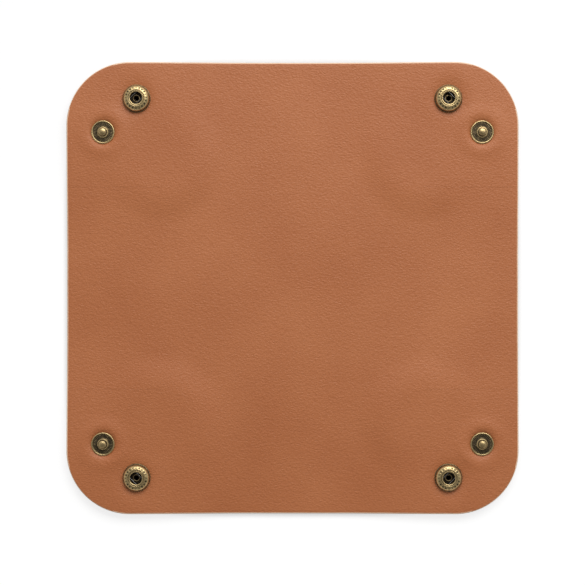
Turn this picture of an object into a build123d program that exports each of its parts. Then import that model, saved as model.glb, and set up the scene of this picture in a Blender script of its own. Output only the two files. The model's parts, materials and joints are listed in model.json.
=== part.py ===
from build123d import *
import os
from math import acos, atan, cos, degrees, radians, sin, sqrt, tan

os.makedirs("parts", exist_ok=True)

# The leather sheet lies flat with its face up. It is two plies, glued back to back.
sheet_width = 210.0
corner_radius = 29.5
face_thickness = 1.1
backing_thickness = 1.1

# The walls fold up on four lines, and each corner is pinched between two of them.
wall_height = 44.0
fold_angle = 80.0
end_strip_width = 10.0
slot_at_fold = 2.2
slot_at_edge = 1.2
corner_relief = 1.5

# Each corner has a socket beside one edge and a stud beside the other.
snap_from_edge = 17.0
snap_from_side = 32.6
punch_clearance = 0.05
punch_sides = 8
snap_clearance = 0.1

# The spring is a wire bent into a long loop, whose legs grip the stud's neck.
spring_wire = 0.45
spring_grip = 3.4
spring_length = 8.9
spring_play = 0.05
spring_gap_angle = 15.0

# The socket is a drawn brass ring around the spring, with a turned-in mouth.
socket_flange_width = 0.45
socket_flange_height = 0.5
socket_ring_width = 1.6
socket_shoulder = 0.45
socket_ledge_width = 0.6
socket_mouth_radius = 2.8
socket_height = 3.3
socket_lip = 0.65
socket_floor = 0.4

# The cap closes the socket from below with a tube, which is rolled over inside it.
cap_radius = 7.5
cap_crown_radius = 4.4
cap_drop = 2.0
cap_edge = 0.6
tube_radius = 1.5
tube_bore = 1.25
roll_radius = 1.75

# The stud is a dished disc with a boss, a neck and a ball.
stud_radius = 5.5
stud_rim_width = 0.78
stud_rim_height = 1.0
stud_floor = 0.5
boss_radius = 2.75
neck_radius = 1.5
neck_top = 2.2
ball_radius = 1.85
ball_widest = 2.35
ball_top_radius = 1.3
stud_height = 3.0
stud_roof = 0.7

# The post is the stud's rivet, with a low head below the leather.
post_head_radius = 5.75
post_head_top_radius = 5.5
post_head_drop = 0.6
post_shank_radius = 0.95

# Levels of the sheet over the surface that the four caps rest on.
bottom = cap_drop
middle = bottom + backing_thickness
top = middle + face_thickness
leather_thickness = face_thickness + backing_thickness

# Places of the folds and the snaps, from the middle of the sheet.
half_sheet = sheet_width / 2
half_base = half_sheet - wall_height
snap_far = half_sheet - snap_from_edge
snap_near = half_sheet - snap_from_side

# With both snaps closed, the faces of a corner's two flaps stand this far apart.
snapped_gap = socket_height + stud_rim_height + snap_clearance

# The crease beside a flap starts short of the base's corner and leans outward,
# so that the corner closes without a twist when the walls stand at the fold angle.
crease_lean = atan(cos(radians(fold_angle)))
crease_offset = sqrt(2) * (snapped_gap / 2 + leather_thickness)
crease_offset -= leather_thickness * sin(radians(fold_angle))
crease_angle = acos(sin(radians(fold_angle)) / sqrt(2))
crease_foot = half_base - crease_offset
crease_tip = crease_foot + wall_height * tan(crease_lean)
print(f"crease: lean {degrees(crease_lean):.4f}, fold {degrees(crease_angle):.4f} degrees")
print(f"crease: foot {crease_foot:.4f}, diagonal axis height {top + snapped_gap / 2:.4f}")

sides = {
    "back": Plane((0, 0, 0), x_dir=(1, 0, 0), z_dir=(0, 0, 1)),
    "left": Plane((0, 0, 0), x_dir=(0, 1, 0), z_dir=(0, 0, 1)),
    "front": Plane((0, 0, 0), x_dir=(-1, 0, 0), z_dir=(0, 0, 1)),
    "right": Plane((0, 0, 0), x_dir=(0, -1, 0), z_dir=(0, 0, 1)),
}
corners = {
    "back_right": (1, 1),
    "back_left": (-1, 1),
    "front_left": (-1, -1),
    "front_right": (1, -1),
}


def cut_panel(label, outline, hole_place=(0, 0), hole_radius=0):
    """One panel of the sheet, as a face ply over a backing ply.

    The outline is where the knife and the fold lines bound it. The sheet's own
    round corner trims it, and a snap's tube or rivet is punched through it.
    """
    plies = (
        ("face", middle, face_thickness),
        ("backing", bottom, backing_thickness),
    )
    for ply_name, level, thickness in plies:
        with BuildPart() as ply:
            with BuildSketch(Plane.XY.offset(level)):
                Polygon(*outline, align=None)
                RectangleRounded(sheet_width, sheet_width, corner_radius, mode=Mode.INTERSECT)
                if hole_radius:
                    with Locations(hole_place):
                        RegularPolygon(
                            hole_radius,
                            punch_sides,
                            major_radius=False,
                            mode=Mode.SUBTRACT,
                        )
            extrude(amount=thickness)
        ply.part.label = f"{label}_{ply_name}"
        export_step(ply.part, f"parts/{label}_{ply_name}.step")


# Base. It reaches the fold lines on all four sides.
cut_panel(
    "base",
    [
        (-half_base, -half_base),
        (half_base, -half_base),
        (half_base, half_base),
        (-half_base, half_base),
    ],
)

# Back and front walls. They run from crease to crease.
for name in ("back", "front"):
    outline = [
        (-crease_foot, half_base),
        (crease_foot, half_base),
        (crease_tip, half_sheet),
        (-crease_tip, half_sheet),
    ]
    placed = [sides[name].from_local_coords(Vector(x, y, 0)) for x, y in outline]
    cut_panel(f"{name}_wall", [(p.X, p.Y) for p in placed])

# Left and right walls. A slot parts each from the strips that the flaps carry.
strip_end = crease_foot - end_strip_width
for name in ("left", "right"):
    outline = [
        (-strip_end + slot_at_fold, half_base),
        (strip_end - slot_at_fold, half_base),
        (strip_end - slot_at_edge, half_sheet),
        (-strip_end + slot_at_edge, half_sheet),
    ]
    placed = [sides[name].from_local_coords(Vector(x, y, 0)) for x, y in outline]
    cut_panel(f"{name}_wall", [(p.X, p.Y) for p in placed])

# Corner flaps and end strips. The flaps meet on the diagonal of the sheet, and
# each has the hole of its own snap.
for name, (side, end) in corners.items():
    flap = [
        (crease_foot, half_base),
        (half_base + corner_relief, half_base + corner_relief),
        (half_sheet, half_sheet),
        (crease_tip, half_sheet),
    ]
    strip = [
        (half_base, crease_foot),
        (half_base, strip_end),
        (half_sheet, strip_end),
        (half_sheet, crease_tip),
    ]
    cut_panel(
        f"{name}_socket_flap",
        [(side * x, end * y) for x, y in flap],
        hole_place=(side * snap_near, end * snap_far),
        hole_radius=tube_radius + punch_clearance,
    )
    cut_panel(
        f"{name}_stud_flap",
        [(side * y, end * x) for x, y in flap],
        hole_place=(side * snap_far, end * snap_near),
        hole_radius=post_shank_radius + punch_clearance,
    )
    cut_panel(f"{name}_end_strip", [(side * x, end * y) for x, y in strip])

# Inside the socket the loop of wire lies on a ledge, in a track just wider than itself.
mouth_bottom = socket_height - socket_lip
ledge_height = mouth_bottom - spring_play - spring_wire
wire_radius = spring_wire / 2
loop_radius = spring_grip / 2 + wire_radius
loop_half = spring_length / 2 - wire_radius - loop_radius
loop_height = ledge_height + wire_radius
track_radius = spring_length / 2 + spring_play
ledge_radius = track_radius - socket_ledge_width
ring_radius = track_radius + socket_ring_width
flange_radius = ring_radius + socket_flange_width

# Levels of the cap's tube and its roll, over the underside of the leather.
roll_foot = leather_thickness + socket_floor
roll_middle = roll_foot + roll_radius - tube_radius
tube_top = roll_middle + roll_radius - tube_radius

# Socket halves of the snaps, one on each flap beside the back or front edge.
for name, (side, end) in corners.items():
    place = (side * snap_near, end * snap_far)
    above = Plane((*place, top), x_dir=(1, 0, 0), z_dir=(0, -1, 0))
    below = Plane((*place, bottom), x_dir=(1, 0, 0), z_dir=(0, -1, 0))
    snap_axis = Axis((*place, 0), (0, 0, 1))

    # Socket. The outside is a flange and an upright ring, the inside steps out to the track.
    with BuildPart() as socket:
        with BuildSketch(above):
            with BuildLine():
                Polyline(
                    (tube_radius, 0),
                    (flange_radius, 0),
                    (flange_radius, socket_flange_height),
                    (ring_radius, socket_flange_height),
                    (ring_radius, socket_height - socket_shoulder),
                    (ring_radius - socket_shoulder, socket_height),
                    (socket_mouth_radius, socket_height),
                    (socket_mouth_radius, mouth_bottom),
                    (track_radius, mouth_bottom),
                    (track_radius, ledge_height),
                    (ledge_radius, ledge_height),
                    (ledge_radius, socket_floor),
                    (tube_radius, socket_floor),
                    close=True,
                )
            make_face()
        revolve(axis=snap_axis)
    socket.part.label = f"{name}_socket"
    export_step(socket.part, f"parts/{name}_socket.step")

    # Spring. Its legs lie across the corner's diagonal, in line with the stud's path.
    legs = Plane(
        (*place, top + loop_height),
        x_dir=(side, -end, 0),
        z_dir=(0, 0, 1),
    )
    with BuildPart() as spring:
        with BuildLine(legs) as loop:
            CenterArc((loop_half, 0), loop_radius, spring_gap_angle, 90 - spring_gap_angle)
            Line((loop_half, loop_radius), (-loop_half, loop_radius))
            CenterArc((-loop_half, 0), loop_radius, 90, 180)
            Line((-loop_half, -loop_radius), (loop_half, -loop_radius))
            CenterArc((loop_half, 0), loop_radius, 270, 90 - spring_gap_angle)
        with BuildSketch(Plane(loop.wire() @ 0, x_dir=(0, 0, 1), z_dir=loop.wire() % 0)):
            Rectangle(spring_wire, spring_wire)
        sweep(path=loop.wire())
    spring.part.label = f"{name}_spring"
    export_step(spring.part, f"parts/{name}_spring.step")

    # Cap. Its tube passes the leather and the socket's floor, and is rolled over there.
    with BuildPart() as cap:
        with BuildSketch(below):
            with BuildLine():
                Polyline(
                    (0, -cap_drop),
                    (cap_crown_radius, -cap_drop),
                    (cap_radius, -cap_edge),
                    (cap_radius, 0),
                    (tube_radius, 0),
                    (tube_radius, roll_foot),
                    (roll_radius, roll_middle),
                    (tube_radius, tube_top),
                    (tube_bore, roll_middle),
                    (0, roll_middle),
                    close=True,
                )
            make_face()
        revolve(axis=snap_axis)
    cap.part.label = f"{name}_cap"
    export_step(cap.part, f"parts/{name}_cap.step")

# Stud halves of the snaps, one on each flap beside the left or right edge.
bore_top = stud_height - stud_roof
for name, (side, end) in corners.items():
    place = (side * snap_far, end * snap_near)
    above = Plane((*place, top), x_dir=(1, 0, 0), z_dir=(0, -1, 0))
    below = Plane((*place, bottom), x_dir=(1, 0, 0), z_dir=(0, -1, 0))
    snap_axis = Axis((*place, 0), (0, 0, 1))

    # Stud. The rivet fills its bore up to the roof of the ball.
    with BuildPart() as stud:
        with BuildSketch(above):
            with BuildLine():
                Polyline(
                    (0, bore_top),
                    (post_shank_radius, bore_top),
                    (post_shank_radius, 0),
                    (stud_radius, 0),
                    (stud_radius, stud_floor),
                    (stud_radius - stud_rim_width / 2, stud_rim_height),
                    (stud_radius - stud_rim_width, stud_floor),
                    (boss_radius, stud_floor),
                    (neck_radius, stud_rim_height),
                    (neck_radius, neck_top),
                    (ball_radius, ball_widest),
                    (ball_top_radius, stud_height),
                    (0, stud_height),
                    close=True,
                )
            make_face()
        revolve(axis=snap_axis)
    stud.part.label = f"{name}_stud"
    export_step(stud.part, f"parts/{name}_stud.step")

    # Post. A low head, and a shank up through the leather into the stud.
    with BuildPart() as post:
        with BuildSketch(below):
            with BuildLine():
                Polyline(
                    (0, -post_head_drop),
                    (post_head_top_radius, -post_head_drop),
                    (post_head_radius, 0),
                    (post_shank_radius, 0),
                    (post_shank_radius, leather_thickness + bore_top),
                    (0, leather_thickness + bore_top),
                    close=True,
                )
            make_face()
        revolve(axis=snap_axis)
    post.part.label = f"{name}_post"
    export_step(post.part, f"parts/{name}_post.step")
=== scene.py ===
import json
import math

import bmesh
import bpy
import numpy as np
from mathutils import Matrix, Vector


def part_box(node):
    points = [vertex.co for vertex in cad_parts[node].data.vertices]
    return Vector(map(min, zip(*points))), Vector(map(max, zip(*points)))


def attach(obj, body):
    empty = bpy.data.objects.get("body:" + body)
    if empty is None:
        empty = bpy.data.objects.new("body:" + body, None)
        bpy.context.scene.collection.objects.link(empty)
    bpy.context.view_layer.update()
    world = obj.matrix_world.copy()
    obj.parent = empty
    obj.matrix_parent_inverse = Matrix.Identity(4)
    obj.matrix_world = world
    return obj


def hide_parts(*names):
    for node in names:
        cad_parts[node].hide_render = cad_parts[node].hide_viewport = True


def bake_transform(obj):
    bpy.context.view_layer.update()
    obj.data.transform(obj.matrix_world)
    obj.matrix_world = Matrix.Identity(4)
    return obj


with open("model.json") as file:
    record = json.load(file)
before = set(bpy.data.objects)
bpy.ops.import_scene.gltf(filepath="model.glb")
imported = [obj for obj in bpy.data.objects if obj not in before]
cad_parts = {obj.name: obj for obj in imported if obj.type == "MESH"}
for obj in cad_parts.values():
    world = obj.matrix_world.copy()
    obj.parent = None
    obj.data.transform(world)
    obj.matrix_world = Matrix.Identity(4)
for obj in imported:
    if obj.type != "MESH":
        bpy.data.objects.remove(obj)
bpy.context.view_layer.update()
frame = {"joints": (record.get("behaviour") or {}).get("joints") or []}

# Leather sheet, the base first: tan pebbled face leather glued to a napped backing.
# It is cut from the flat with round corners, and lies on the caps of its snaps, so it
# sags between them. It is built here as panels that meet on its fold lines.
mm = 0.001
plies = ("face", "backing")
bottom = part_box("base_backing")[0].z
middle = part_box("base_face")[0].z
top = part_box("base_face")[1].z
half_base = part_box("base_face")[1].x
half_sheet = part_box("back_wall_face")[1].y
strip_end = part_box("back_right_end_strip_face")[0].y
corner_radius = 29.5 * mm
edge_round = 0.6 * mm
edge_band_share = 0.9
base_cells = 56


def middle_of(node):
    """The place of a node's middle, seen from above."""
    low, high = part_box(node)
    return (low.x + high.x) / 2, (low.y + high.y) / 2


socket_place = middle_of("back_right_socket")
stud_place = middle_of("back_right_stud")

sag = 1.8 * mm
lift = 0.55 * mm
slack_half, held_half = 15 * mm, 80 * mm
firm_from, firm_share = 30 * mm, 0.45
wave = 0.10 * mm
wave_start_x, wave_start_y = 1.1, 0.4
long_wave_x, long_wave_y = 17 * mm, 21 * mm
short_wave_x, short_wave_y = 9 * mm, 14 * mm
still_rings = (
    (socket_place, 6.4 * mm, 12.5 * mm),
    (stud_place, 5.4 * mm, 10.5 * mm),
)
still_corner = half_base - strip_end
still_corner_share = 2.2
swell_height = 0.45 * mm
swell_full, swell_end = 8 * mm, 14 * mm


def smooth(value, start, end):
    """A soft step from 0 at start to 1 at end."""
    t = np.clip((value - start) / (end - start), 0, 1)
    return t * t * (3 - 2 * t)


def relief(x, y):
    """How far the sheet stands above its flat place. It lies still at snaps and creases."""
    across, along = np.abs(x), np.abs(y)
    depth = sag * (1 - firm_share * smooth(x, firm_from, half_sheet))
    held = smooth(across, slack_half, held_half) * smooth(along, slack_half, held_half)
    height = (depth + lift) * held - depth
    height += wave * np.sin(x / long_wave_x + wave_start_x) * np.sin(y / long_wave_y + wave_start_y)
    height += wave / 2 * np.sin(x / short_wave_x - y / short_wave_y)
    for place, inner, outer in still_rings:
        height *= smooth(np.hypot(across - place[0], along - place[1]), inner, outer)
    corner = np.hypot(across - half_base, along - half_base)
    return height * smooth(corner, still_corner, still_corner_share * still_corner)


def swell(x, y):
    """How far the face stands proud round each stud, which is pressed into it."""
    away = np.hypot(np.abs(x) - stud_place[0], np.abs(y) - stud_place[1])
    return swell_height * smooth(away, swell_end, swell_full)


def inside_rim(x, y):
    """How far a point lies inside the sheet's outline."""
    reach = half_sheet - corner_radius
    across, along = np.abs(x) - reach, np.abs(y) - reach
    outside = np.hypot(np.maximum(across, 0), np.maximum(along, 0))
    return corner_radius - outside - np.minimum(np.maximum(across, along), 0)


def edge_drop(x, y):
    """How far the rounded edge falls away from the flat of its side."""
    near = np.clip(edge_round - inside_rim(x, y), 0, edge_round)
    return edge_round - np.sqrt(edge_round**2 - near**2)


def put_in_scene(name, data):
    """A new object in the scene, with that mesh, lamp or camera."""
    thing = bpy.data.objects.new(name, data)
    bpy.context.scene.collection.objects.link(thing)
    return thing


def map_to_sheet(mesh, points, skirt):
    """Maps each face to its place on the flat sheet, with the panel's sides folded out."""
    shortest = 1e-9
    places = points[:, :2]
    loops = np.zeros(len(mesh.loops), dtype=int)
    mesh.loops.foreach_get("vertex_index", loops)
    flat = places[loops]
    starts = np.zeros(len(mesh.polygons), dtype=int)
    mesh.polygons.foreach_get("loop_start", starts)
    for index, a, b in skirt:
        run = places[b] - places[a]
        out = np.array([run[1], -run[0]]) / max(np.hypot(*run), shortest)
        for k in range(starts[index], starts[index] + 4):
            if loops[k] >= len(points) // 2:
                flat[k] += out * (top - middle)
    layer = mesh.uv_layers.new(name="sheet")
    layer.data.foreach_set("uv", (flat / (2 * half_sheet) + 0.5).ravel())


def leather_panel(name, x, y, ply, rim_sides=()):
    """One ply of a panel, from a grid of places on the flat sheet.

    The grid's sides are numbered 0 for its first row, 1 for its last column, 2 for
    its last row and 3 for its first column. Those in rim_sides are the cut edge.
    """
    bed, drop = relief(x, y), edge_drop(x, y)
    if ply == "face":
        upper, lower = top + bed - drop + swell(x, y), middle + bed
    else:
        upper, lower = middle + bed, bottom + bed + drop
    count = x.size
    points = np.concatenate([np.stack([x, y, z], axis=-1).reshape(-1, 3) for z in (upper, lower)])
    number = np.arange(count).reshape(x.shape)
    cells = np.stack([number[:-1, :-1], number[:-1, 1:], number[1:, 1:], number[1:, :-1]], axis=-1)
    cells = cells.reshape(-1, 4)
    across = points[cells[:, 1]] - points[cells[:, 0]]
    along = points[cells[:, 3]] - points[cells[:, 0]]
    mirrored = np.cross(across, along)[:, 2].sum() < 0
    if mirrored:
        cells = cells[:, ::-1]
    faces = [tuple(c) for c in cells] + [tuple(c) for c in cells[:, ::-1] + count]
    rim = inside_rim(*points[cells].mean(axis=1)[:, :2].T) < edge_band_share * edge_round
    materials = [int(is_rim) for is_rim in np.concatenate([rim, rim])]
    around = [number[0], number[:, -1], number[-1][::-1], number[:, 0][::-1]]
    sharp = set()
    skirt = []
    for side, line in enumerate(around):
        for a, b in zip(line[:-1], line[1:]):
            face = (b, a, a + count, b + count)
            skirt.append((len(faces), a, b))
            faces.append(face[::-1] if mirrored else face)
            materials.append(1)
            upper_edge = (min(a, b), max(a, b))
            lower_edge = (min(a, b) + count, max(a, b) + count)
            if side not in rim_sides:
                sharp.update((upper_edge, lower_edge))
            else:
                sharp.add(lower_edge if ply == "face" else upper_edge)
        sharp.add((line[0], line[0] + count))
    mesh = bpy.data.meshes.new(name)
    mesh.from_pydata(points.tolist(), [], [tuple(int(v) for v in f) for f in faces])
    mesh.polygons.foreach_set("material_index", materials)
    mesh.polygons.foreach_set("use_smooth", [True] * len(faces))
    pairs = np.zeros(len(mesh.edges) * 2, dtype=int)
    mesh.edges.foreach_get("vertices", pairs)
    marks = [(min(a, b), max(a, b)) in sharp for a, b in pairs.reshape(-1, 2)]
    mesh.attributes.new("sharp_edge", "BOOLEAN", "EDGE").data.foreach_set("value", marks)
    map_to_sheet(mesh, points, skirt)
    for material in leather_finish[ply]:
        mesh.materials.append(material)
    panel = put_in_scene(name, mesh)
    return panel


def node_maker(tree):
    """A short call that adds a node, with its settings, values and links."""

    def add(kind, inputs=None, **settings):
        node = tree.nodes.new(kind)
        for key, value in settings.items():
            setattr(node, key, value)
        for key, value in (inputs or {}).items():
            if isinstance(value, bpy.types.NodeSocket):
                tree.links.new(value, node.inputs[key])
            else:
                node.inputs[key].default_value = value
        return node

    return add


def blank_nodes(owner):
    """Empties the nodes of a material or the world, and gives the call that adds to them."""
    owner.use_nodes = True
    owner.node_tree.nodes.clear()
    return node_maker(owner.node_tree)


def grain_group():
    """Leather grain, from places on the sheet in millimetres."""
    grain_stretch = (1.15, 1.65, 1.0)
    warp_reach = (1.2, 1.0, 0.0)
    wrinkle_height = 1.1
    grain_tone = 0.35
    tree = bpy.data.node_groups.new("leather grain", "ShaderNodeTree")
    face = tree.interface
    for name in ("Pebble", "Wrinkle", "Patch"):
        face.new_socket(name, in_out="INPUT", socket_type="NodeSocketFloat")
    face.new_socket("Place", in_out="INPUT", socket_type="NodeSocketVector")
    face.new_socket("Height", in_out="OUTPUT", socket_type="NodeSocketFloat")
    face.new_socket("Tone", in_out="OUTPUT", socket_type="NodeSocketFloat")
    add = node_maker(tree)
    given = add("NodeGroupInput").outputs
    warp = add("ShaderNodeTexNoise", {"Vector": given["Place"], "Scale": 0.5, "Detail": 2})
    bent = add(
        "ShaderNodeVectorMath",
        {0: warp.outputs["Color"], 1: warp_reach, 2: given["Place"]},
        operation="MULTIPLY_ADD",
    )
    long = add("ShaderNodeVectorMath", {0: bent.outputs[0], 1: grain_stretch}, operation="MULTIPLY")
    pebble = add(
        "ShaderNodeTexVoronoi",
        {"Vector": long.outputs[0], "Scale": given["Pebble"], "Randomness": 1.0},
        feature="SMOOTH_F1",
    )
    wrinkle = add(
        "ShaderNodeTexNoise",
        {"Vector": long.outputs[0], "Scale": given["Wrinkle"], "Detail": 2, "Roughness": 0.55},
    )
    patch = add("ShaderNodeTexNoise", {"Vector": given["Place"], "Scale": given["Patch"], "Detail": 2})
    dome = add("ShaderNodeMath", {0: 1.0, 1: pebble.outputs["Distance"]}, operation="SUBTRACT")
    height = add(
        "ShaderNodeMath",
        {0: wrinkle.outputs["Fac"], 1: wrinkle_height, 2: dome.outputs[0]},
        operation="MULTIPLY_ADD",
    )
    tone = add(
        "ShaderNodeMath",
        {0: height.outputs[0], 1: grain_tone, 2: patch.outputs["Fac"]},
        operation="MULTIPLY_ADD",
    )
    add("NodeGroupOutput", {"Height": height.outputs[0], "Tone": tone.outputs[0]})
    return tree


leather_grain = grain_group()


def dimple_group():
    """The dimple that each snap presses into the face, as a height in millimetres."""
    steepness = 3.5
    socket_dimple = {"foot": 6.3, "end": 11.0, "depth": 0.3}
    stud_dimple = {"foot": 5.4, "end": 9.2, "depth": 0.8}
    tree = bpy.data.node_groups.new("dimples", "ShaderNodeTree")
    tree.interface.new_socket("Place", in_out="INPUT", socket_type="NodeSocketVector")
    tree.interface.new_socket("Height", in_out="OUTPUT", socket_type="NodeSocketFloat")
    add = node_maker(tree)
    given = add("NodeGroupInput").outputs
    folded = add("ShaderNodeVectorMath", {0: given["Place"]}, operation="ABSOLUTE")
    total = 0.0
    for (x, y), dimple in ((socket_place, socket_dimple), (stud_place, stud_dimple)):
        away = add(
            "ShaderNodeVectorMath",
            {0: folded.outputs[0], 1: (x / mm, y / mm, 0.0)},
            operation="DISTANCE",
        ).outputs["Value"]
        near = add(
            "ShaderNodeMapRange",
            {"Value": away, "From Min": dimple["end"], "From Max": dimple["foot"]},
        )
        steep = add("ShaderNodeMath", {0: near.outputs[0], 1: steepness}, operation="POWER")
        total = add(
            "ShaderNodeMath",
            {0: steep.outputs[0], 1: -dimple["depth"], 2: total},
            operation="MULTIPLY_ADD",
        ).outputs[0]
    add("NodeGroupOutput", {"Height": total})
    return tree


dimples = dimple_group()


def leather_material(name, dark, light, roughness, depth, sizes, sheen, pressed=False):
    """A leather finish: two close colours mixed by the grain, and the grain's relief."""
    hollow_duller, crest_glossier = 0.12, 0.06
    material = bpy.data.materials.new(name)
    add = blank_nodes(material)
    sheet_wide = 2 * half_sheet / mm
    place = add("ShaderNodeUVMap", uv_map="sheet")
    on_sheet = add(
        "ShaderNodeVectorMath",
        {0: place.outputs[0], 1: (sheet_wide,) * 3, 2: (-sheet_wide / 2, -sheet_wide / 2, 0)},
        operation="MULTIPLY_ADD",
    ).outputs[0]
    grain = add("ShaderNodeGroup", {"Place": on_sheet, **sizes}, node_tree=leather_grain).outputs
    mixed = add("ShaderNodeMapRange", {"Value": grain["Tone"], "From Min": 0.55, "From Max": 1.25})
    colour = add("ShaderNodeMix", {0: mixed.outputs[0], "A": dark, "B": light}, data_type="RGBA")
    dull = add(
        "ShaderNodeMapRange",
        {
            "Value": grain["Height"],
            "From Min": 0.5,
            "From Max": 1.6,
            "To Min": roughness + hollow_duller,
            "To Max": roughness - crest_glossier,
        },
    )
    height = add("ShaderNodeMath", {0: grain["Height"], 1: depth / mm}, operation="MULTIPLY")
    if pressed:
        pressing = add("ShaderNodeGroup", {"Place": on_sheet}, node_tree=dimples)
        height = add("ShaderNodeMath", {0: height.outputs[0], 1: pressing.outputs[0]})
    bump = add("ShaderNodeBump", {"Height": height.outputs[0], "Distance": mm})
    shader = add(
        "ShaderNodeBsdfPrincipled",
        {
            "Base Color": colour.outputs["Result"],
            "Roughness": dull.outputs[0],
            "Normal": bump.outputs[0],
            "IOR": 1.45,
            "Sheen Weight": sheen,
            "Sheen Roughness": 0.5,
        },
    )
    add("ShaderNodeOutputMaterial", {"Surface": shader.outputs[0]})
    return material


face_leather = leather_material(
    "face leather",
    dark=(0.400, 0.122, 0.038, 1),
    light=(0.490, 0.170, 0.062, 1),
    roughness=0.50,
    depth=0.14 * mm,
    sizes={"Pebble": 0.85, "Wrinkle": 1.0, "Patch": 0.02},
    sheen=0.0,
    pressed=True,
)
backing_leather = leather_material(
    "napped backing",
    dark=(0.22, 0.088, 0.042, 1),
    light=(0.34, 0.145, 0.074, 1),
    roughness=0.85,
    depth=0.05 * mm,
    sizes={"Pebble": 3.0, "Wrinkle": 1.6, "Patch": 0.05},
    sheen=0.3,
)
cut_edge = leather_material(
    "cut edge",
    dark=(0.70, 0.42, 0.26, 1),
    light=(0.86, 0.62, 0.44, 1),
    roughness=0.7,
    depth=0.04 * mm,
    sizes={"Pebble": 4.0, "Wrinkle": 2.5, "Patch": 0.1},
    sheen=0.1,
)
leather_finish = {
    "face": (face_leather, cut_edge),
    "backing": (backing_leather, cut_edge),
}


def laid(panel, *nodes, turn=0.0):
    """Hides the solids that a panel stands for.

    The angle is not used.
    """
    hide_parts(*nodes)


base_line = np.linspace(-half_base, half_base, base_cells + 1)
base_x, base_y = np.meshgrid(base_line, base_line)
for ply in plies:
    panel = leather_panel(f"leather_base_{ply}", base_x, base_y, ply)
    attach(panel, "base")
    laid(panel, f"base_{ply}")

# Walls: the four sides of the same sheet, which meet the base with no seam. Their rows are close in the
# bend, which is wide in the middle of a side and tightens towards the pinched corners, as leather does.
turns = {"back": (1, 0), "left": (0, 1), "front": (-1, 0), "right": (0, -1)}
wall_height = half_sheet - half_base
crease = next(joint for joint in frame["joints"] if joint["name"] == "back_right_socket_crease")
crease_foot = crease["pos_m"][0]
crease_lean = math.atan2(*crease["axis"][:2])
crease_tip = crease_foot + wall_height * math.tan(crease_lean)
bend_middle = 11 * mm
bend_corner = 1.2 * mm
bend_widens_share = 0.55
bend_rows = 10
wall_rows = 22
rim_rows = 4
wall_columns = 64


def rows_up(bend):
    """Distances from the fold line to the rim, with close rows in the bend and at the rim."""
    bend = np.atleast_1d(bend)[:, None]
    low = bend * np.linspace(0, 1, bend_rows, endpoint=False)
    share = np.linspace(0, 1, wall_rows)
    high = bend + (wall_height - edge_round - bend) * share
    lip = wall_height - edge_round * (1 - np.sin(np.linspace(0, math.pi / 2, rim_rows + 1)[1:]))
    return np.concatenate([low, high, np.repeat(lip[None], len(bend), axis=0)], axis=1)


for side, (c, s) in turns.items():
    long_side = side in ("back", "front")
    foot = crease_foot if long_side else strip_end
    tip = crease_tip if long_side else strip_end
    share = np.linspace(-1, 1, wall_columns + 1)
    bend = bend_corner + (bend_middle - bend_corner) * smooth(1 - np.abs(share), 0, bend_widens_share)
    up = rows_up(bend)
    along = share[:, None] * (foot + (tip - foot) * up / wall_height)
    out = half_base + up
    x, y = along * c - out * s, along * s + out * c
    for ply in plies:
        panel = leather_panel(f"leather_{side}_wall_{ply}", x, y, ply, rim_sides=(1,))
        laid(panel, f"{side}_wall_{ply}")
        end = (-half_sheet * s, half_sheet * c, top)
        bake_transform(panel)

# Corner flaps: the two halves of each round corner, cut in one with the walls. On the tray a pinch folds
# them face to face on the sheet's diagonal; here they are built flat, with a strip along the diagonal for
# the fold.
corners = {
    "back_right": (1, 1),
    "back_left": (-1, 1),
    "front_left": (-1, -1),
    "front_right": (1, -1),
}
pinch_foot = 2.7 * mm
pinch_half = 5.1 * mm
pinch_bend_share = 0.67
crease_bend = 3.4 * mm
crease_bend_share = 0.8
pinch_columns = 14
flap_bend_columns = 6
flap_columns = 18
rise = rows_up(bend_corner)[0] / wall_height
corner_reach = half_sheet - corner_radius
straight_rim = corner_reach - crease_tip
pinch_angle = math.asin(pinch_half / corner_radius)
flap_rim = straight_rim + corner_radius * (math.pi / 4 - pinch_angle)


def on_rim(distance):
    """A place on the outline, that far past the crease's tip towards the diagonal."""
    bow_angle = np.maximum(distance - straight_rim, 0) / corner_radius
    on_bow = corner_reach + corner_radius * np.sin(bow_angle)
    x = np.where(distance < straight_rim, crease_tip + distance, on_bow)
    return x, corner_reach + corner_radius * np.cos(bow_angle)


def flap_grid():
    """The socket flap of the back right corner, from its crease to the diagonal strip."""
    crease_x = crease_foot + (crease_tip - crease_foot) * rise
    crease_y = half_base + wall_height * rise
    end_x, end_y = on_rim(np.array(flap_rim))
    strip_x = half_base - pinch_foot + (end_x - half_base + pinch_foot) * rise
    strip_y = half_base + (end_y - half_base) * rise
    width = np.hypot(strip_x - crease_x, strip_y - crease_y)
    bend = np.minimum(crease_bend, crease_bend_share * width)
    near = bend[:, None] / width[:, None] * np.linspace(0, 1, flap_bend_columns, endpoint=False)
    far_share = np.linspace(0, 1, flap_columns + 1)
    far = (bend / width)[:, None] * (1 - far_share) + far_share
    share = np.concatenate([near, far], axis=1)
    x = crease_x[:, None] * (1 - share) + strip_x[:, None] * share
    y = crease_y[:, None] * (1 - share) + strip_y[:, None] * share
    rim_x, rim_y = on_rim(share[-1] * flap_rim)
    x = x + rise[:, None] * (rim_x - crease_tip * (1 - share[-1]) - end_x * share[-1])
    y = y + rise[:, None] * (rim_y - half_sheet * (1 - share[-1]) - end_y * share[-1])
    return x, y, smooth(share * width[:, None] / bend[:, None], 0, 1)


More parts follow.
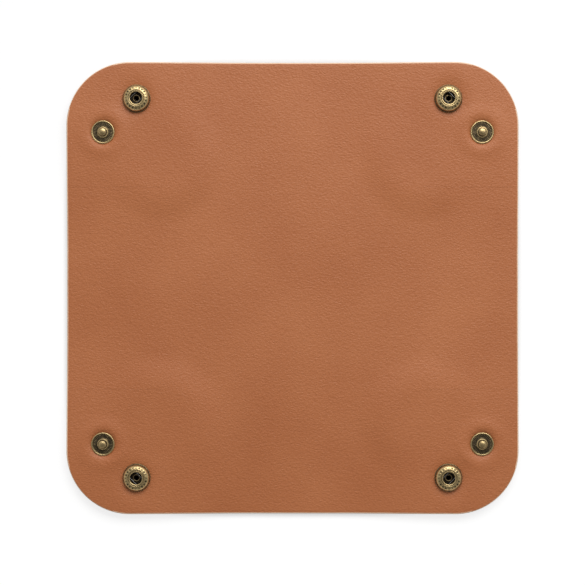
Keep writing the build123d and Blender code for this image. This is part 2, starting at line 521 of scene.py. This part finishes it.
def pinch_grid():
    """The strip along the diagonal, from the socket flap's side to the stud flap's."""
    share = np.linspace(-1, 1, pinch_columns + 1)
    foot_x = half_base - pinch_foot * np.maximum(-share, 0)
    foot_y = half_base - pinch_foot * np.maximum(share, 0)
    angle = math.pi / 4 - share * pinch_angle
    rim_x = corner_reach + corner_radius * np.cos(angle)
    rim_y = corner_reach + corner_radius * np.sin(angle)
    x = foot_x + (rim_x - foot_x) * rise[:, None]
    y = foot_y + (rim_y - foot_y) * rise[:, None]
    follow = smooth(share, -pinch_bend_share, pinch_bend_share)
    return x, y, np.repeat(follow[None], len(rise), axis=0)


flap_x, flap_y, flap_follow = flap_grid()
pinch_x, pinch_y, pinch_follow = pinch_grid()
for name, (side, end) in corners.items():
    socket_flap, stud_flap, end_strip = (
        f"{name}_socket_flap",
        f"{name}_stud_flap",
        f"{name}_end_strip",
    )
    for ply in plies:
        panel = leather_panel(f"leather_{socket_flap}_{ply}", side * flap_x, end * flap_y, ply, (2,))
        laid(panel, f"{socket_flap}_{ply}")
        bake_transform(panel)
        panel = leather_panel(f"leather_{stud_flap}_{ply}", side * flap_y, end * flap_x, ply, (2,))
        laid(panel, f"{stud_flap}_{ply}")
        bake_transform(panel)
        panel = leather_panel(f"leather_{name}_pinch_{ply}", side * pinch_x, end * pinch_y, ply, (2,))
        laid(panel, f"{socket_flap}_{ply}", f"{stud_flap}_{ply}", turn=side * end * math.pi / 4)
        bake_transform(panel)

# End strips: the ends of the left and right walls, of the same sheet, which the pinched corners carry. On
# the tray each turns on the fold line, round the sheet's face; here each is built flat, with a roll of the
# backing at the fold line, which closes the fold from below.
strip_columns = 8
strip_gap = 0.04 * mm
strip_share = np.linspace(0, 1, strip_columns + 1)
strip_out = half_base + wall_height * rise
strip_top = crease_foot + (crease_tip - crease_foot) * rise
strip_x = np.repeat(strip_out[:, None], strip_columns + 1, axis=1)
strip_y = strip_top[:, None] * (1 - strip_share) + (strip_end + strip_gap) * strip_share
for name, (side, end) in corners.items():
    for ply in plies:
        panel = leather_panel(
            f"leather_{name}_end_strip_{ply}", side * strip_x, end * strip_y, ply, (2,)
        )
        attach(panel, f"{name}_end_strip")
        laid(panel, f"{name}_end_strip_{ply}")


def closed_mesh(name, points, faces):
    """A closed mesh, with all its faces turned outwards."""
    mesh = bpy.data.meshes.new(name)
    mesh.from_pydata(points, [], faces)
    shape = bmesh.new()
    shape.from_mesh(mesh)
    bmesh.ops.recalc_face_normals(shape, faces=shape.faces)
    shape.to_mesh(mesh)
    shape.free()
    return mesh


def leather_filler(name, lower, upper, *materials):
    """A small closed piece of leather between two loops of points, the upper one last."""
    count = len(lower)
    faces = [tuple(range(count, 2 * count)), tuple(range(count))[::-1]]
    faces += [(k, (k + 1) % count, (k + 1) % count + count, k + count) for k in range(count)]
    points = np.array([*lower, *upper])
    mesh = closed_mesh(name, points.tolist(), faces)
    for material in materials:
        mesh.materials.append(material)
    mesh.polygons.foreach_set("material_index", [0] + [len(materials) - 1] * (count + 1))
    loops = [loop.vertex_index for loop in mesh.loops]
    layer = mesh.uv_layers.new(name="sheet")
    layer.data.foreach_set("uv", (points[loops, :2] / (2 * half_sheet) + 0.5).ravel())
    filler = put_in_scene(name, mesh)
    return filler


roll_play = 0.05 * mm
roll_radius = top - bottom - roll_play
roll_start, roll_stop, roll_points = -90, -170, 9
roll_angles = np.radians(np.linspace(roll_start, roll_stop, roll_points))
roll_out = np.concatenate([[half_base], half_base + roll_radius * np.cos(roll_angles)])
roll_up = np.concatenate([[top], top + roll_radius * np.sin(roll_angles)])
for name, (side, end) in corners.items():
    near, far = (
        [(side * out, end * y, up) for out, up in zip(roll_out, roll_up)]
        for y in (strip_end + strip_gap, crease_foot)
    )
    roll = leather_filler(f"leather_{name}_fold_roll", near, far, backing_leather)
    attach(roll, f"{name}_end_strip")

# Corner gathers: the leather of both plies that crumples at the foot of each pinched
# corner and closes it. While the sheet lies flat they are within its thickness.
gather_half = 2.6 * mm
gather_back = -3.4 * mm
gather_bend = 1.5 * mm
gather_tip = 4.05 * mm
gather_low = bottom + 0.3 * mm
gather_high = top - 0.6 * mm
gather_round_points = 17
round_end = np.linspace(-math.pi / 2, math.pi / 2, gather_round_points)
gather_bow = gather_bend + (gather_tip - gather_bend) * np.cos(round_end)
gather_out = np.concatenate([[gather_back], gather_bow, [gather_back]])
gather_across = gather_half * np.concatenate([[-1], np.sin(round_end), [1]])
for name, (side, end) in corners.items():
    x = side * (half_base + (gather_out - gather_across) * math.sqrt(0.5))
    y = end * (half_base + (gather_out + gather_across) * math.sqrt(0.5))
    lower, upper = ([(a, b, z) for a, b in zip(x, y)] for z in (gather_low, gather_high))
    gather = leather_filler(f"leather_{name}_gather", lower, upper, face_leather, backing_leather)
    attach(gather, "base")

# Sockets: drawn brass rings, antiqued dark and rubbed bright on the high places. Each is
# held down by the rolled tube of its cap. Plain dots and dashes are struck into the crown.
# The sizes of the turned and bent pieces are in millimetres, up from the leather.
round_segments = 144
arc_step, fewest_arc_steps = 0.15, 4


def round_corner(before, corner, after, rounding):
    """The points of the arc that rounds a corner of an outline off."""
    back, ahead = before - corner, after - corner
    back, ahead = back / np.hypot(*back), ahead / np.hypot(*ahead)
    half = math.acos(np.clip(back @ ahead, -1, 1)) / 2
    centre = corner + (back + ahead) / np.hypot(*(back + ahead)) * rounding / math.sin(half)
    first = corner + back * rounding / math.tan(half) - centre
    last = corner + ahead * rounding / math.tan(half) - centre
    sweep = math.pi - 2 * half
    steps = max(fewest_arc_steps, int(sweep / arc_step))
    return [
        centre + (first * math.sin((1 - t) * sweep) + last * math.sin(t * sweep)) / math.sin(sweep)
        for t in np.linspace(0, 1, steps + 1)
    ]


def divided(spots, is_ring, step):
    """An outline's points with more between them, no further apart than about a step."""
    line = []
    for k, spot in enumerate(spots):
        line.append(spot)
        if k + 1 == len(spots) and not is_ring:
            break
        after = spots[(k + 1) % len(spots)]
        length = math.hypot(after[0] - spot[0], after[1] - spot[1])
        for t in np.linspace(0, 1, max(1, round(length / step)) + 1)[1:-1]:
            line.append((*(np.array(spot[:3]) * (1 - t) + np.array(after[:3]) * t), False))
    return line


def turned(name, place, level, outline, marks=None, step=0.3):
    """A turned brass piece from its outline: radius, height, rounding and wear.

    Wear runs from 0, dark in a hollow, to 1, rubbed bright. A rounding of None is a
    point on a curve, and a rounding of 0 is a sharp corner. An outline that starts on
    the axis is a solid piece, and any other is a ring.
    """
    is_ring = outline[0][0] > 0
    spots = []
    for k, (r, z, rounding, wear) in enumerate(outline):
        if rounding:
            before = np.array(outline[k - 1][:2])
            after = np.array(outline[(k + 1) % len(outline)][:2])
            arc = round_corner(before, np.array([r, z]), after, rounding)
            spots += [(*spot, wear, False) for spot in arc]
        else:
            spots.append((r, z, wear, rounding == 0))
    angles = np.linspace(0, 2 * math.pi, round_segments, endpoint=False)
    points, rubs, rings, hard = [], [], [], set()
    for r, z, wear, is_hard in divided(spots, is_ring, step):
        start = len(points)
        if r == 0:
            rings.append([start] * round_segments)
            points.append((0, 0, z))
            rubs.append(wear)
            continue
        rings.append(list(range(start, start + round_segments)))
        dip, dark = marks(r, z, angles) if marks else (0 * angles, 0 * angles)
        points += [(r * math.cos(a), r * math.sin(a), z - d) for a, d in zip(angles, dip)]
        rubs += list(wear * (1 - dark))
        if is_hard:
            hard.update((start + i, start + (i + 1) % round_segments) for i in range(round_segments))
    faces = []
    for k in range(len(rings) - (0 if is_ring else 1)):
        low, high = rings[k], rings[(k + 1) % len(rings)]
        for i in range(round_segments):
            j = (i + 1) % round_segments
            faces.append(tuple(dict.fromkeys((low[i], low[j], high[j], high[i]))))
    points = [(place[0] + x * mm, place[1] + y * mm, level + z * mm) for x, y, z in points]
    return metal_piece(name, points, faces, rubs, antique_brass, hard)


def metal_piece(name, points, faces, rubs, material, hard=()):
    """A closed metal piece with its wear and its sharp corners marked."""
    mesh = closed_mesh(name, points, faces)
    hard = {tuple(sorted(pair)) for pair in hard}
    sharp = [tuple(sorted(edge.vertices)) in hard for edge in mesh.edges]
    mesh.polygons.foreach_set("use_smooth", [len(f.vertices) < 5 for f in mesh.polygons])
    mesh.attributes.new("sharp_edge", "BOOLEAN", "EDGE").data.foreach_set("value", sharp)
    mesh.attributes.new("rubbed", "FLOAT", "POINT").data.foreach_set("value", rubs)
    mesh.materials.append(material)
    return put_in_scene(name, mesh)


def bow(start, end, wear_start, wear_end, steps=10):
    """A quarter of an ellipse, from its level end to its upright end."""
    points = []
    for t in np.linspace(0, math.pi / 2, steps + 1):
        r = start[0] + (end[0] - start[0]) * math.sin(t)
        z = end[1] + (start[1] - end[1]) * math.cos(t)
        points.append((r, z, None, wear_start + (wear_end - wear_start) * t / (math.pi / 2)))
    return points


def tarnish_group():
    """Wear on metal: rubbed bright where the piece stands proud, dark in its hollows."""
    blotch_share = 0.8
    tree = bpy.data.node_groups.new("tarnish", "ShaderNodeTree")
    face = tree.interface
    face.new_socket("Rubbed", in_out="INPUT", socket_type="NodeSocketFloat")
    face.new_socket("Place", in_out="INPUT", socket_type="NodeSocketVector")
    face.new_socket("Bright", in_out="OUTPUT", socket_type="NodeSocketFloat")
    face.new_socket("Height", in_out="OUTPUT", socket_type="NodeSocketFloat")
    add = node_maker(tree)
    given = add("NodeGroupInput").outputs
    blotch = add(
        "ShaderNodeTexNoise",
        {"Vector": given["Place"], "Scale": 600.0, "Detail": 4, "Roughness": 0.65},
    )
    scuff = add("ShaderNodeTexNoise", {"Vector": given["Place"], "Scale": 3500.0, "Detail": 2})
    level = add(
        "ShaderNodeMath",
        {0: blotch.outputs["Fac"], 1: blotch_share, 2: given["Rubbed"]},
        operation="MULTIPLY_ADD",
    )
    bright = add(
        "ShaderNodeMapRange",
        {"Value": level.outputs[0], "From Min": 0.45, "From Max": 1.4},
        interpolation_type="SMOOTHSTEP",
    )
    add("NodeGroupOutput", {"Bright": bright.outputs[0], "Height": scuff.outputs["Fac"]})
    return tree


tarnish = tarnish_group()


def metal_material(name, dark, light, dull, shiny):
    """A metal whose colour and gloss follow its wear."""
    scuff_depth = 0.01 * mm
    material = bpy.data.materials.new(name)
    add = blank_nodes(material)
    rubbed = add("ShaderNodeAttribute", attribute_name="rubbed").outputs["Fac"]
    place = add("ShaderNodeTexCoord").outputs["Object"]
    wear = add("ShaderNodeGroup", {"Rubbed": rubbed, "Place": place}, node_tree=tarnish).outputs
    colour = add("ShaderNodeMix", {0: wear["Bright"], "A": dark, "B": light}, data_type="RGBA")
    rough = add("ShaderNodeMapRange", {"Value": wear["Bright"], "To Min": dull, "To Max": shiny})
    bump = add("ShaderNodeBump", {"Height": wear["Height"], "Distance": scuff_depth})
    shader = add(
        "ShaderNodeBsdfPrincipled",
        {
            "Base Color": colour.outputs["Result"],
            "Roughness": rough.outputs[0],
            "Metallic": 1.0,
            "Normal": bump.outputs[0],
        },
    )
    add("ShaderNodeOutputMaterial", {"Surface": shader.outputs[0]})
    return material


antique_brass = metal_material(
    "antique brass",
    dark=(0.050, 0.038, 0.024, 1),
    light=(0.58, 0.43, 0.21, 1),
    dull=0.5,
    shiny=0.34,
)

tube_radius = 1.5
socket_floor = 0.4
flange_radius, flange_height = 6.5, 0.5
foot_groove = (6.15, 0.6)
crown_foot = (6.1, 1.2)
crown_top = (3.75, 3.2)
lip_groove = (3.6, 3.05)
lip_radius, socket_height = 3.45, 3.3
mouth_radius = 2.8
track_radius, track_height = 4.5, 2.65
ledge_radius, ledge_height = 3.9, 2.15
socket_outline = [
    (tube_radius, 0.0, 0, 0.0),
    # The flange is kept dark: partly patina, partly painted shade at the socket's foot.
    (flange_radius, 0.0, 0.05, 0.1),
    (flange_radius, flange_height, 0.2, 0.45),
    (*foot_groove, 0.12, 0.0),
    *bow(crown_top, crown_foot, 0.95, 0.5)[::-1],
    (*lip_groove, 0.06, 0.1),
    (lip_radius, socket_height, 0.1, 0.9),
    (mouth_radius, socket_height, 0.4, 0.9),
    (mouth_radius, track_height, 0.05, 0.0),
    (track_radius, track_height, 0, 0.0),
    (track_radius, ledge_height, 0, 0.0),
    (ledge_radius, ledge_height, 0, 0.0),
    (ledge_radius, socket_floor, 0, 0.0),
    (tube_radius, socket_floor, 0, 0.0),
]
mark_count = 20
marks_in_group, dots_in_group = 5, 2
mark_radius, mark_half_width = 4.75, 0.3
dot_half, dash_half = 0.08, 0.3
mark_slope = 0.2
mark_depth, mark_darkness = 0.09, 0.75
crown_low, crown_inner, crown_outer = 1.8, 3.8, 5.8
socket_step = 0.14


def struck_marks(r, z, angles):
    """Dots and dashes around the crown, as a depth and a darkness."""
    if z < crown_low or not crown_inner < r < crown_outer:
        return 0 * angles, 0 * angles
    pitch = 2 * math.pi / mark_count
    index = np.round(angles / pitch)
    away = np.abs(angles - index * pitch) * r
    reach = np.where(index % marks_in_group < dots_in_group, dot_half, dash_half)
    gap = np.hypot(np.maximum(away - reach, 0), max(abs(r - mark_radius) - mark_half_width, 0))
    struck = 1 - smooth(gap, 0.0, mark_slope)
    return mark_depth * struck, mark_darkness * struck


for name in corners:
    place = middle_of(f"{name}_socket")
    socket = turned(f"{name}_socket_ring", place, top, socket_outline, struck_marks, socket_step)
    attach(socket, f"{name}_socket_flap")
    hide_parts(f"{name}_socket")

# Springs: a loop of drawn steel wire in each socket, open at one end. Its two legs grip
# the neck of the stud, and it lies on the socket's ledge.
# The wire's grey is darker than bare steel: dark steel, and painted shade inside the socket's hole.
spring_steel = metal_material(
    "spring steel",
    dark=(0.07, 0.065, 0.06, 1),
    light=(0.26, 0.25, 0.23, 1),
    dull=0.45,
    shiny=0.28,
)
wire_radius = 0.215
wire_play = 0.01
wire_height = ledge_height + wire_radius + wire_play
wire_sides = 12
wire_wear = 0.6
leg_offset = 1.925
leg_half = 2.3
open_angle = math.radians(15)
open_points, closed_points = 10, 19


def wire_loop(name, place, lean):
    """Wire round a long loop, in line with lean, as an unbroken tube."""
    right = np.linspace(open_angle, math.pi / 2, open_points)
    left = np.linspace(math.pi / 2, 3 * math.pi / 2, closed_points)
    path = [(leg_half + leg_offset * math.cos(a), leg_offset * math.sin(a)) for a in right]
    path += [(-leg_half + leg_offset * math.cos(a), leg_offset * math.sin(a)) for a in left]
    path += [(leg_half + leg_offset * math.cos(a), -leg_offset * math.sin(a)) for a in right[::-1]]
    path = np.array(path)
    run = np.gradient(path, axis=0)
    run /= np.hypot(run[:, 0], run[:, 1])[:, None]
    points = []
    for (x, y), (tx, ty) in zip(path, run):
        for a in np.linspace(0, 2 * math.pi, wire_sides, endpoint=False):
            out = wire_radius * math.cos(a)
            points.append((x - ty * out, y + tx * out, wire_height + wire_radius * math.sin(a)))
    c, s = lean
    points = [
        (place[0] + (x * c - y * s) * mm, place[1] + (x * s + y * c) * mm, top + z * mm)
        for x, y, z in points
    ]
    faces = [tuple(range(wire_sides)), tuple(range(len(points) - wire_sides, len(points)))]
    for k in range(len(path) - 1):
        for i in range(wire_sides):
            j = (i + 1) % wire_sides
            a = k * wire_sides
            faces.append((a + i, a + j, a + wire_sides + j, a + wire_sides + i))
    return metal_piece(name, points, faces, [wire_wear] * len(points), spring_steel)


for name, (side, end) in corners.items():
    lean = (side * math.sqrt(0.5), -end * math.sqrt(0.5))
    spring = wire_loop(f"{name}_spring_wire", middle_of(f"{name}_socket"), lean)
    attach(spring, f"{name}_socket_flap")
    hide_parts(f"{name}_spring")

# Caps: domed brass buttons under the leather, on which the tray stands. A drawn tube
# passes up through the sheet and is rolled over on the socket's floor.
leather_thick = (top - bottom) / mm
tube_foot = leather_thick + socket_floor
cap_drop = bottom / mm
cap_seat_radius = 7.4
dome_edge = (7.45, -0.45)
cap_rim = (7.5, -0.2)
roll_out_radius = 1.75
roll_mouth_radius, bore_radius = 1.25, 1.1
roll_foot, roll_low, roll_high, roll_top = (tube_foot + up for up in (0.05, 0.12, 0.45, 0.48))
dome_steps = 24
cap_outline = [
    *bow((0.0, -cap_drop), dome_edge, 0.9, 0.7, dome_steps),
    (*cap_rim, 0.1, 1.0),
    (cap_seat_radius, 0.0, 0.05, 0.1),
    (tube_radius, 0.0, 0, 0.0),
    (tube_radius, roll_foot, 0.05, 0.2),
    (roll_out_radius, roll_low, 0.1, 0.5),
    (roll_out_radius, roll_high, 0.15, 0.5),
    (roll_mouth_radius, roll_top, 0.15, 0.4),
    (bore_radius, leather_thick, 0.1, 0.0),
    (0.0, leather_thick, 0, 0.0),
]
for name in corners:
    cap = turned(f"{name}_cap_button", middle_of(f"{name}_cap"), bottom, cap_outline)
    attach(cap, f"{name}_socket_flap")
    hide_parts(f"{name}_cap")

# Studs: dished brass discs with a rolled rim, a boss and a round-headed ball on a neck.
# Each is riveted to its flap, and its ball snaps between the spring's legs.
shank_radius = 0.95
shank_hole_height = 2.3
ball_top = 3.1
ball_side = (1.85, 2.32)
neck_top = (1.5, 2.0)
neck_foot = (1.55, 1.2)
boss_edge = (2.35, 1.15)
boss_side = (2.75, 0.75)
dish_inner, dish_outer, dish_floor = 2.95, 4.55, 0.6
rim_inside = (4.6, 0.7)
rim_crest = (5.05, 1.0)
disc_radius, rim_side_height = 5.5, 0.45
ball_steps = 14
stud_outline = [
    *bow((0.0, ball_top), ball_side, 0.85, 0.45, ball_steps),
    (*neck_top, 0.1, 0.0),
    (*neck_foot, 0.2, 0.0),
    (*boss_edge, 0.15, 0.9),
    (*boss_side, 0.2, 0.1),
    (dish_inner, dish_floor, 0.15, 0.25),
    (dish_outer, dish_floor, 0.1, 0.4),
    *bow(rim_crest, rim_inside, 0.85, 0.2)[::-1],
    *bow(rim_crest, (disc_radius, rim_side_height), 0.85, 0.6)[1:],
    (disc_radius, 0.0, 0.1, 0.1),
    (shank_radius, 0.0, 0, 0.0),
    (shank_radius, shank_hole_height, 0, 0.0),
    (0.0, shank_hole_height, 0, 0.0),
]
rib_count = 36
rib_depth = 0.07
rib_inner, rib_outer, rib_level = 3.1, 4.5, 0.7
stud_step = 0.2


def fine_ribs(r, z, angles):
    """Ribs pressed round the dish, as a depth and a darkness."""
    if z > rib_level or not rib_inner < r < rib_outer:
        return 0 * angles, 0 * angles
    return rib_depth * np.cos(angles * rib_count), (1 + np.cos(angles * rib_count)) / 2


for name in corners:
    place = middle_of(f"{name}_stud")
    stud = turned(f"{name}_stud_disc", place, top, stud_outline, fine_ribs, stud_step)
    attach(stud, f"{name}_stud_flap")
    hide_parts(f"{name}_stud")

# Posts: brass rivets with a low round head, under the leather of the stud flaps. The
# shank passes up through the sheet into the stud's ball, which holds it.
post_head_drop = 0.6
post_head_side = (5.7, -0.15)
post_head_radius = 5.75
head_steps = 16
shank_top = leather_thick + shank_hole_height
post_outline = [
    *bow((0.0, -post_head_drop), post_head_side, 0.9, 0.8, head_steps),
    (post_head_radius, 0.0, 0.05, 0.2),
    (shank_radius, 0.0, 0, 0.0),
    (shank_radius, shank_top, 0, 0.0),
    (0.0, shank_top, 0, 0.0),
]
for name in corners:
    post = turned(f"{name}_post_rivet", middle_of(f"{name}_post"), bottom, post_outline)
    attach(post, f"{name}_stud_flap")
    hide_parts(f"{name}_post")

# Floor, lights and camera: a white table in a pale room, under one large soft box that
# hangs behind the tray. The camera looks straight down, as in the photograph.
floor_half = 4.0
floor_drop = 0.1 * mm
# How far the painted contact shadow reaches from the tray.
painted_shade_reach = 2.8 * mm


def seen_rays(add):
    """1 on rays that show a thing straight on, mirrored or through glass, and 0 on light."""
    path = add("ShaderNodeLightPath").outputs
    seen = add("ShaderNodeMath", {0: path["Is Camera Ray"], 1: path["Is Glossy Ray"]}, operation="MAXIMUM")
    seen = add("ShaderNodeMath", {0: seen.outputs[0], 1: path["Is Transmission Ray"]}, operation="MAXIMUM")
    return seen.outputs[0]


def table_material():
    """White to the eye, with the tray's shadow and a painted contact shadow, a soft dark line where it
    touches.
    """
    material = bpy.data.materials.new("white table")
    add = blank_nodes(material)
    seen = seen_rays(add)
    spot = add("ShaderNodeTexCoord").outputs["Object"]
    reach = add("ShaderNodeVectorMath", {0: spot}, operation="LENGTH").outputs["Value"]
    far = add(
        "ShaderNodeMapRange",
        {"Value": reach, "From Min": 0.2, "From Max": 0.5},
        interpolation_type="SMOOTHSTEP",
    ).outputs[0]
    back = add("ShaderNodeSeparateXYZ", {0: spot}).outputs["Y"]
    level = add(
        "ShaderNodeMapRange",
        {"Value": back, "From Min": -0.15, "From Max": 0.15, "To Min": 0.78, "To Max": 0.71},
    )
    # Painted contact shadow: ambient occlusion dims the table's glow beside the tray.
    open_share = add("ShaderNodeAmbientOcclusion", {"Distance": painted_shade_reach}).outputs["AO"]
    painted_contact_shade = add("ShaderNodeMapRange", {"Value": open_share, "To Min": 0.35, "To Max": 1.0})
    near = add("ShaderNodeMath", {0: level.outputs[0], 1: painted_contact_shade.outputs[0]}, operation="MULTIPLY")
    lit = add("ShaderNodeMix", {0: far, "A": near.outputs[0], "B": 1.0}, data_type="FLOAT")
    strength = add("ShaderNodeMath", {0: seen, 1: lit.outputs[0]}, operation="MULTIPLY")
    glow = add("ShaderNodeEmission", {"Strength": strength.outputs[0]})
    pale = add("ShaderNodeMix", {0: seen, "A": 0.6, "B": 0.3}, data_type="FLOAT")
    paint = add("ShaderNodeMix", {0: far, "A": pale.outputs[0], "B": 0.0}, data_type="FLOAT")
    matt = add("ShaderNodeBsdfDiffuse", {"Color": paint.outputs[0]})
    both = add("ShaderNodeAddShader", {0: matt.outputs[0], 1: glow.outputs[0]})
    add("ShaderNodeOutputMaterial", {"Surface": both.outputs[0]})
    return material


floor_corners = [(x * floor_half, y * floor_half, 0) for x, y in ((-1, -1), (1, -1), (1, 1), (-1, 1))]
floor_mesh = bpy.data.meshes.new("floor")
floor_mesh.from_pydata(floor_corners, [], [(0, 1, 2, 3)])
floor_mesh.materials.append(table_material())
floor = put_in_scene("floor", floor_mesh)
floor.location.z = -floor_drop


def room_light(world):
    """Pale walls: brighter at the back, darker straight above, and white where they show."""
    add = blank_nodes(world)
    seen = seen_rays(add)
    direction = add("ShaderNodeTexCoord").outputs["Generated"]
    parts = add("ShaderNodeSeparateXYZ", {0: direction}).outputs
    from_back = add(
        "ShaderNodeMapRange",
        {"Value": parts["Y"], "From Min": -0.8, "From Max": 0.8, "To Min": 0.272, "To Max": 0.68},
        interpolation_type="SMOOTHSTEP",
    )
    overhead = add(
        "ShaderNodeMapRange",
        {"Value": parts["Z"], "From Min": 0.7, "From Max": 0.97, "To Min": 1.0, "To Max": 0.4},
        interpolation_type="SMOOTHSTEP",
    )
    light = add("ShaderNodeMath", {0: from_back.outputs[0], 1: overhead.outputs[0]}, operation="MULTIPLY")
    wall = add(
        "ShaderNodeMapRange",
        {"Value": parts["Z"], "From Min": 0.4, "From Max": 0.2},
        interpolation_type="SMOOTHSTEP",
    )
    shown = add("ShaderNodeMath", {0: seen, 1: wall.outputs[0]}, operation="MULTIPLY")
    level = add("ShaderNodeMix", {0: shown.outputs[0], "A": light.outputs[0], "B": 1.0}, data_type="FLOAT")
    walls = add("ShaderNodeBackground", {"Color": (1, 1, 1, 1), "Strength": level.outputs[0]})
    add("ShaderNodeOutputWorld", {"Surface": walls.outputs[0]})


room = bpy.data.worlds.new("studio")
bpy.context.scene.world = room
room_light(room)

soft_box = bpy.data.lights.new("soft box", "AREA")
soft_box.shape = "RECTANGLE"
soft_box.size, soft_box.size_y = 1.1, 0.6
soft_box.energy = 10.5
lamp = put_in_scene("soft box", soft_box)
lamp.location = (0.2, 0.71, 0.86)
lamp.rotation_mode = "QUATERNION"
lamp.rotation_quaternion = (-lamp.location).to_track_quat("-Z", "Y")

photo_width = 271.7 * mm
photo_middle_y = -2.05 * mm
camera_data = bpy.data.cameras.new("camera")
camera_data.sensor_width = 36.0
camera_data.lens = 85.0
camera_height = photo_width * camera_data.lens / camera_data.sensor_width
camera = put_in_scene("camera", camera_data)
camera.location = (0, photo_middle_y, top + camera_height)
bpy.context.scene.camera = camera
bpy.context.scene.view_settings.view_transform = "Standard"
